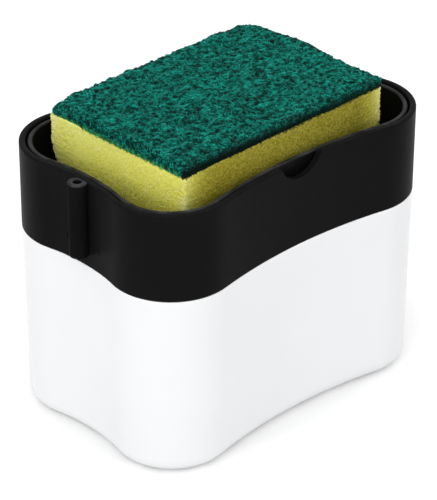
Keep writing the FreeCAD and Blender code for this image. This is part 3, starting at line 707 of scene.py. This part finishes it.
foam = grow(
    "foam",
    foam_start,
    pores,
    {
        "Pore Size": 0.0009,
        "Pore Depth": 0.00034,
        "Open Share": 0.5,
        "Fine Size": 0.0007,
        "Fine Depth": 0.00008,
        "Swell Size": 0.02,
        "Swell": 0.00025,
        "Ragged": 0.00035,
        "Finish": foam_yellow,
    },
)
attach(foam, "sponge")
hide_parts("sponge_foam")


# Scouring pad: the green slab glued on the foam, a nonwoven mat of crimped fibres bonded with resin.
# A dense core holds thousands of loose fibres that lie every way and stand off its edges.
# It was cut with the foam, so its rim is wavy and the back corner is worn round.
pad_size = Vector((0.0958, 0.0686))
pad_middle_z = 0.11815
pad_slope_x = 0.003
pad_slope_y = -0.020
pad_radius = 0.0010
worn_radius = 0.0070
bulge_size = 0.0021
bulge_y = 0.0090
bulge_reach = 0.011
bulge_power = 8
drawn_reach = 0.007
drawn_top = 0.0022
drawn_waist = 0.0011
glue_depth = 0.0002


def pad_top(x, y):
    """Height of the pad's upper face."""
    return pad_middle_z + pad_slope_x * x + pad_slope_y * y


def pad_plan(points):
    """The pad's plan for a block's points: the back corner is worn round and the +X end bulges."""
    half_size = pad_size / 2
    x = (2 * points[:, 0] - 1) * half_size.x
    y = (2 * points[:, 1] - 1) * half_size.y
    worn_x, worn_y = round_corners(x, y, half_size.x, half_size.y, worn_radius)
    sharp_x, sharp_y = round_corners(x, y, half_size.x, half_size.y, pad_radius)
    worn = (x > 0) & (y > 0)
    x = np.where(worn, worn_x, sharp_x)
    y = np.where(worn, worn_y, sharp_y)
    bulge = bulge_size * np.exp(-(((y - bulge_y) / bulge_reach) ** 2))
    return x + bulge * np.clip(x / half_size.x, 0.0, 1.0) ** bulge_power, y


pad_cuts = (190, 136)
pad_points, pad_faces = block_shell((*pad_cuts, 8))
rise = pad_points[:, 2]
pad_x, pad_y = pad_plan(pad_points)
left_corner = np.hypot(pad_x + pad_size.x / 2, pad_y - pad_size.y / 2)
left_corner = np.exp(-((left_corner / drawn_reach) ** 2))
drawn_in = left_corner * (drawn_top * rise**2 - drawn_waist * np.sin(math.pi * rise))
pad_x = pad_x + drawn_in + sponge_lean.x
pad_y = pad_y - drawn_in + sponge_lean.y
pad_foot = bond_height(pad_x, pad_y) - glue_depth
pad_z = pad_foot + (pad_top(pad_x, pad_y) - pad_foot) * rise
pad_start = make_mesh("pad_start", np.stack((pad_x, pad_y, pad_z), 1), pad_faces)

mat, mat_in, mat_out = geometry_tree(
    "pad_core",
    [
        ("Pit Size", "NodeSocketFloat"),
        ("Pit Depth", "NodeSocketFloat"),
        ("Rim Wave", "NodeSocketFloat"),
        ("Finish", "NodeSocketMaterial"),
    ],
)
mat_place = add_node(mat, "GeometryNodeInputPosition").outputs[0]
mat_normal = add_node(mat, "GeometryNodeInputNormal").outputs[0]
upper = rescale(mat, split(mat, mat_normal)["Z"], -0.5, 0.3, 0.0, 1.0)
lumps = noise(mat, mat_place, reckon(mat, "DIVIDE", 1.0, mat_in.outputs["Pit Size"]), 3.0, 0.6)
hollow = rescale(mat, lumps, 0.3, 0.62, -1.0, 0.0)
waves = signed(mat, noise(mat, mat_place, 110.0))
push = reckon(mat, "MULTIPLY", hollow, mat_in.outputs["Pit Depth"])
push = reckon(mat, "MULTIPLY_ADD", waves, mat_in.outputs["Rim Wave"], push)
push = reckon(mat, "MULTIPLY", push, upper)
mat_shape = add_node(mat, "GeometryNodeSetPosition")
mat.links.new(mat_in.outputs["Geometry"], mat_shape.inputs["Geometry"])
mat.links.new(scaled(mat, mat_normal, push), mat_shape.inputs["Offset"])
close_tree(mat, mat_shape.outputs[0], mat_in.outputs["Finish"], mat_out)

bonded_fibre, fibre_in, fibre_out = shader_group(
    "bonded_fibre",
    [
        ("Dark", "NodeSocketColor", (0.0, 0.02, 0.015, 1.0)),
        ("Light", "NodeSocketColor", (0.01, 0.5, 0.4, 1.0)),
    ],
    [("Colour", "NodeSocketColor"), ("Roughness", "NodeSocketFloat")],
)
rim_low_z = 0.1153
rim_high_z = 0.1171
under_low_z = 0.1150
under_high_z = 0.1172
shade_colour = (0.0003, 0.0075, 0.0058)
fibre_place = object_place(bonded_fibre)
fibre_level = reach_along(bonded_fibre, fibre_place, (-pad_slope_x, -pad_slope_y, 1.0))
fibre_axes = split(bonded_fibre, fibre_place)
hollows = noise(bonded_fibre, fibre_place, 520.0, 3.0, 0.65)
hollows = rescale(bonded_fibre, hollows, 0.38, 0.61, 0.0, 1.0)
strand_light = reckon(bonded_fibre, "MULTIPLY_ADD", mesh_mark(bonded_fibre, "strand"), 0.8, 0.2)
fibre_share = reckon(bonded_fibre, "MULTIPLY", hollows, strand_light)
# Painted shade: fibres below the pad's top are darker, almost black along the -Y side.
least_light = rescale(bonded_fibre, fibre_axes["Y"], -0.0328, -0.0312, 0.03, 0.9)
rim_light = rescale(bonded_fibre, fibre_level, rim_low_z, rim_high_z, least_light, 1.0)
fibre_share = reckon(bonded_fibre, "MULTIPLY", fibre_share, rim_light)
# Painted light on the fibres at the pad's two ends and its back edge.
for axis, inner, outer, gain in (
    ("X", -0.0455, -0.0480, 1.9),
    ("X", 0.0430, 0.0475, 1.5),
    ("Y", 0.0310, 0.0345, 1.5),
):
    painted_edge_light = rescale(bonded_fibre, fibre_axes[axis], inner, outer, 1.0, gain)
    fibre_share = reckon(bonded_fibre, "MULTIPLY", fibre_share, painted_edge_light)
fibre_colour = tint(bonded_fibre, fibre_share, fibre_in.outputs["Dark"], fibre_in.outputs["Light"])
low_down = rescale(bonded_fibre, fibre_level, under_low_z, under_high_z, 1.0, 0.0)
notch_side = rescale(bonded_fibre, fibre_axes["Y"], -0.0326, -0.0314, 0.93, 0.0)
shaded = reckon(bonded_fibre, "MULTIPLY", low_down, notch_side)
fibre_colour = tint(bonded_fibre, shaded, fibre_colour, shade_colour)
bonded_fibre.links.new(fibre_colour, fibre_out.inputs["Colour"])
fibre_rough = noise(bonded_fibre, fibre_place, 1500.0)
fibre_rough = rescale(bonded_fibre, fibre_rough, noise_low, noise_high, 0.45, 0.75)
bonded_fibre.links.new(fibre_rough, fibre_out.inputs["Roughness"])


def fibre_finish(name, dark, light, specular):
    """Resin-bonded fibre: dark in the hollows of the mat and light on single strands."""
    made, tree, shader = new_material(name)
    shader.inputs["Specular IOR Level"].default_value = specular
    colours = {"Dark": (*dark, 1.0), "Light": (*light, 1.0)}
    fibre = add_node(tree, "ShaderNodeGroup", colours, node_tree=bonded_fibre)
    tree.links.new(fibre.outputs["Colour"], shader.inputs["Base Color"])
    tree.links.new(fibre.outputs["Roughness"], shader.inputs["Roughness"])
    return made


core_green = fibre_finish(
    "core_green", dark=(0.0004, 0.018, 0.014), light=(0.003, 0.085, 0.062), specular=0.06
)
pad = grow(
    "pad",
    pad_start,
    mat,
    {"Pit Size": 0.0021, "Pit Depth": 0.0011, "Rim Wave": 0.0004, "Finish": core_green},
)
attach(pad, "sponge")
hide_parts("scouring_pad")


def random_value(tree, kind, low, high, seed):
    """A random value for each fibre; the kind of value decides which sockets are used."""
    made = add_node(tree, "FunctionNodeRandomValue", data_type=kind)
    first = {"FLOAT_VECTOR": 0, "FLOAT": 2, "INT": 4}[kind]
    made.inputs[first].default_value = low
    made.inputs[first + 1].default_value = high
    tree.links.new(seed, made.inputs["Seed"])
    return made.outputs[first // 2]


bows = ((0.35, 0.12), (-0.2, 0.22), (0.12, 0.05), (-0.45, 0.16))
root_sink = -0.03
tilt = 0.22
shortest = 0.55
longest = 1.25
edge_near = 0.0004
edge_far = 0.0028
fibres, fibres_in, fibres_out = geometry_tree(
    "pad_fibres",
    [
        ("Density", "NodeSocketFloat"),
        ("Length", "NodeSocketFloat"),
        ("Thickness", "NodeSocketFloat"),
        ("Half Length", "NodeSocketFloat"),
        ("Half Width", "NodeSocketFloat"),
        ("Centre X", "NodeSocketFloat"),
        ("Centre Y", "NodeSocketFloat"),
        ("Edge Share", "NodeSocketFloat"),
        ("Seed", "NodeSocketInt"),
        ("Finish", "NodeSocketMaterial"),
    ],
)
facing = split(fibres, add_node(fibres, "GeometryNodeInputNormal").outputs[0])
not_under = reckon(fibres, "GREATER_THAN", facing["Z"], -0.5)
roots = add_node(fibres, "GeometryNodeDistributePointsOnFaces")
fibres.links.new(fibres_in.outputs["Geometry"], roots.inputs["Mesh"])
fibres.links.new(not_under, roots.inputs["Selection"])
fibres.links.new(fibres_in.outputs["Density"], roots.inputs["Density"])
seed = fibres_in.outputs["Seed"]
fibres.links.new(seed, roots.inputs["Seed"])
strand_round = add_node(fibres, "GeometryNodeCurvePrimitiveCircle", {"Resolution": 3})
fibres.links.new(fibres_in.outputs["Thickness"], strand_round.inputs["Radius"])
strand_shapes = add_node(fibres, "GeometryNodeGeometryToInstance")
for bend, arch in bows:
    bow = add_node(fibres, "GeometryNodeCurveQuadraticBezier", {"Resolution": 4})
    for label, share in (
        ("Start", (-0.5, 0.0, root_sink)),
        ("Middle", (0.0, bend, arch)),
        ("End", (0.5, 0.0, root_sink)),
    ):
        fibres.links.new(scaled(fibres, share, fibres_in.outputs["Length"]), bow.inputs[label])
    strand_tube = add_node(fibres, "GeometryNodeCurveToMesh", {"Fill Caps": True})
    fibres.links.new(bow.outputs["Curve"], strand_tube.inputs["Curve"])
    fibres.links.new(strand_round.outputs["Curve"], strand_tube.inputs["Profile Curve"])
    fibres.links.new(strand_tube.outputs["Mesh"], strand_shapes.inputs["Geometry"])
turn = random_value(fibres, "FLOAT_VECTOR", (-tilt, -tilt, 0.0), (tilt, tilt, math.tau), seed)
turn_by = add_node(fibres, "FunctionNodeEulerToRotation")
fibres.links.new(turn, turn_by.inputs[0])
lie = add_node(fibres, "FunctionNodeRotateRotation", rotation_space="LOCAL")
fibres.links.new(roots.outputs["Rotation"], lie.inputs[0])
fibres.links.new(turn_by.outputs[0], lie.inputs[1])
long_or_short = random_value(fibres, "FLOAT", shortest, longest, seed)
root_place = split(fibres, add_node(fibres, "GeometryNodeInputPosition").outputs[0])
off_x = reckon(fibres, "SUBTRACT", root_place["X"], fibres_in.outputs["Centre X"])
off_y = reckon(fibres, "SUBTRACT", root_place["Y"], fibres_in.outputs["Centre Y"])
room_x = reckon(fibres, "SUBTRACT", fibres_in.outputs["Half Length"], reckon(fibres, "ABSOLUTE", off_x))
room_y = reckon(fibres, "SUBTRACT", fibres_in.outputs["Half Width"], reckon(fibres, "ABSOLUTE", off_y))
room = reckon(fibres, "MINIMUM", room_x, room_y)
edge_share = rescale(fibres, room, edge_near, edge_far, fibres_in.outputs["Edge Share"], 1.0)
strand_scale = reckon(fibres, "MULTIPLY", long_or_short, edge_share)
which = random_value(fibres, "INT", 0, len(bows) - 1, seed)
laid = add_node(fibres, "GeometryNodeInstanceOnPoints", {"Pick Instance": True})
fibres.links.new(roots.outputs["Points"], laid.inputs["Points"])
fibres.links.new(strand_shapes.outputs[0], laid.inputs["Instance"])
fibres.links.new(which, laid.inputs["Instance Index"])
fibres.links.new(lie.outputs[0], laid.inputs["Rotation"])
fibres.links.new(strand_scale, laid.inputs["Scale"])
tone = random_value(fibres, "FLOAT", 0.0, 1.0, seed)
strand_mark = add_node(
    fibres, "GeometryNodeStoreNamedAttribute", {"Name": "strand"}, data_type="FLOAT", domain="INSTANCE"
)
fibres.links.new(laid.outputs[0], strand_mark.inputs["Geometry"])
fibres.links.new(tone, strand_mark.inputs["Value"])
close_tree(fibres, strand_mark.outputs[0], fibres_in.outputs["Finish"], fibres_out)

fibre_green = fibre_finish(
    "fibre_green", dark=(0.0006, 0.030, 0.023), light=(0.012, 0.54, 0.41), specular=0.12
)
fibre_room = {
    "Thickness": 0.00010,
    "Half Length": pad_size.x / 2,
    "Half Width": pad_size.y / 2,
    "Centre X": sponge_lean.x,
    "Centre Y": sponge_lean.y,
}
first_seed = 11
fringe_seed = 31
layers = 4
for layer in range(layers):
    mat_of_fibres = grow(
        f"pad_fibres_{layer + 1}",
        pad.data,
        fibres,
        {
            **fibre_room,
            "Density": 760000.0,
            "Length": 0.0030,
            "Edge Share": 0.5,
            "Seed": first_seed + layer,
            "Finish": fibre_green,
        },
    )
    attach(mat_of_fibres, "sponge")

fringe_drop = 0.0003
fringe_height = 0.0010
ring_points, ring_faces = block_shell((*pad_cuts, 1))
ring_faces = ring_faces[np.ptp(ring_points[ring_faces][:, :, 2], axis=1) > 0.5]
ring_x, ring_y = pad_plan(ring_points)
ring_x = ring_x + sponge_lean.x
ring_y = ring_y + sponge_lean.y
ring_z = bond_height(ring_x, ring_y) - fringe_drop + fringe_height * ring_points[:, 2]
ring_start = make_mesh("ring_start", np.stack((ring_x, ring_y, ring_z), 1), ring_faces)
fringe_green = fibre_finish(
    "fringe_green", dark=(0.004, 0.07, 0.030), light=(0.05, 0.40, 0.14), specular=0.1
)
fringe = grow(
    "pad_fringe",
    ring_start,
    fibres,
    {
        **fibre_room,
        "Density": 7000000.0,
        "Length": 0.0016,
        "Edge Share": 1.0,
        "Seed": fringe_seed,
        "Finish": fringe_green,
    },
)
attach(fringe, "sponge")


# Studio: a pale floor, a white surround that is dimmer behind, and two large soft lamps,
# the stronger one on the left and the other in front.
# The floor is lifted to white for the camera and in gloss, less so near the caddy, which paints a soft
# shadow round it over its own.
def seen_ray(tree):
    """1 for rays from the camera, in gloss or through clear material, else 0."""
    path = add_node(tree, "ShaderNodeLightPath")
    seen = reckon(tree, "MAXIMUM", path.outputs["Is Camera Ray"], path.outputs["Is Transmission Ray"])
    return reckon(tree, "MAXIMUM", seen, path.outputs["Is Glossy Ray"])


floor_half = 4.0
floor_corners = [(-floor_half, -floor_half), (floor_half, -floor_half)]
floor_corners += [(floor_half, floor_half), (-floor_half, floor_half)]
floor_mesh = make_mesh(
    "floor", np.array([(*corner, 0.0) for corner in floor_corners]), np.array(((0, 1, 2, 3),))
)
floor = place_object("floor", floor_mesh)
floor_paper, paper_tree, paper_shader = new_material("floor_paper")
paper_tree.nodes.remove(paper_shader)
paper_stretch = (1.0, 1.5, 0.0)
lift_near = 0.12
lift_far = 0.34
paper = add_node(paper_tree, "ShaderNodeBsdfDiffuse", {"Color": (0.88, 0.88, 0.88, 1.0)})
paper_glow = add_node(paper_tree, "ShaderNodeEmission")
paper_place = add_node(paper_tree, "ShaderNodeVectorMath", operation="MULTIPLY")
paper_place.inputs[1].default_value = paper_stretch
paper_tree.links.new(object_place(paper_tree), paper_place.inputs[0])
paper_far = add_node(paper_tree, "ShaderNodeVectorMath", operation="LENGTH")
paper_tree.links.new(paper_place.outputs["Vector"], paper_far.inputs[0])
# A weaker lift near the caddy paints a soft shadow round it.
paper_lift = rescale(paper_tree, paper_far.outputs["Value"], 0.070, 0.105, lift_near, lift_far)
paper_shown = reckon(paper_tree, "MULTIPLY", seen_ray(paper_tree), paper_lift)
paper_tree.links.new(paper_shown, paper_glow.inputs["Strength"])
paper_sum = add_node(paper_tree, "ShaderNodeAddShader")
paper_tree.links.new(paper.outputs[0], paper_sum.inputs[0])
paper_tree.links.new(paper_glow.outputs[0], paper_sum.inputs[1])
paper_tree.links.new(paper_sum.outputs[0], paper_tree.nodes["Material Output"].inputs["Surface"])
floor_mesh.materials.append(floor_paper)

surround = bpy.data.worlds.new("surround")
bpy.context.scene.world = surround
surround.use_nodes = True
sky_tree = surround.node_tree
sky = sky_tree.nodes["Background"]
sky.inputs["Color"].default_value = (1.0, 1.0, 1.0, 1.0)
sky_front = reach_along(sky_tree, object_place(sky_tree), (-0.69, -0.72, 0.0))
sky_fall = rescale(sky_tree, sky_front, -1.0, 1.0, 0.74, 0.99)
sky_light = rescale(sky_tree, seen_ray(sky_tree), 0.0, 1.0, sky_fall, 1.0)
sky_tree.links.new(sky_light, sky.inputs["Strength"])

caddy_middle = Vector((0, 0, 0.05))
for lamp_name, lamp_place, lamp_size, lamp_energy in (
    ("key_lamp", Vector((-1.3, -0.3, 1.0)), 1.2, 5.2),
    ("fill_lamp", Vector((-0.7, -1.4, 0.8)), 1.2, 3.8),
):
    lamp_data = bpy.data.lights.new(lamp_name, "AREA")
    lamp_data.shape = "DISK"
    lamp_data.size = lamp_size
    lamp_data.energy = lamp_energy
    lamp = place_object(lamp_name, lamp_data)
    lamp.location = lamp_place
    lamp.rotation_euler = (lamp_place - caddy_middle).to_track_quat("Z", "Y").to_euler()


# Camera: a long lens, a little above the rim, on the corner between the notch and the socket.
# The small shift is the photograph's own framing.
azimuth = math.radians(-43.31)
elevation = math.radians(30.59)
roll = math.radians(0.25)
distance = 0.9566
back = Vector(
    (
        math.sin(azimuth) * math.cos(elevation),
        -math.cos(azimuth) * math.cos(elevation),
        math.sin(elevation),
    )
)
camera_data = bpy.data.cameras.new("camera")
camera_data.sensor_width = 36.0
camera_data.lens = 187.2
camera_data.shift_x = -0.0019
camera_data.shift_y = 0.0100
camera_data.clip_start = 0.05
camera_data.clip_end = 20.0
camera = place_object("camera", camera_data)
look = (-back).to_track_quat("-Z", "Y").to_matrix().to_4x4()
tip = Matrix.Rotation(roll, 4, "Z")
camera.matrix_world = Matrix.Translation(caddy_middle + back * distance) @ look @ tip
bpy.context.scene.camera = camera
bpy.context.scene.view_settings.view_transform = "Standard"
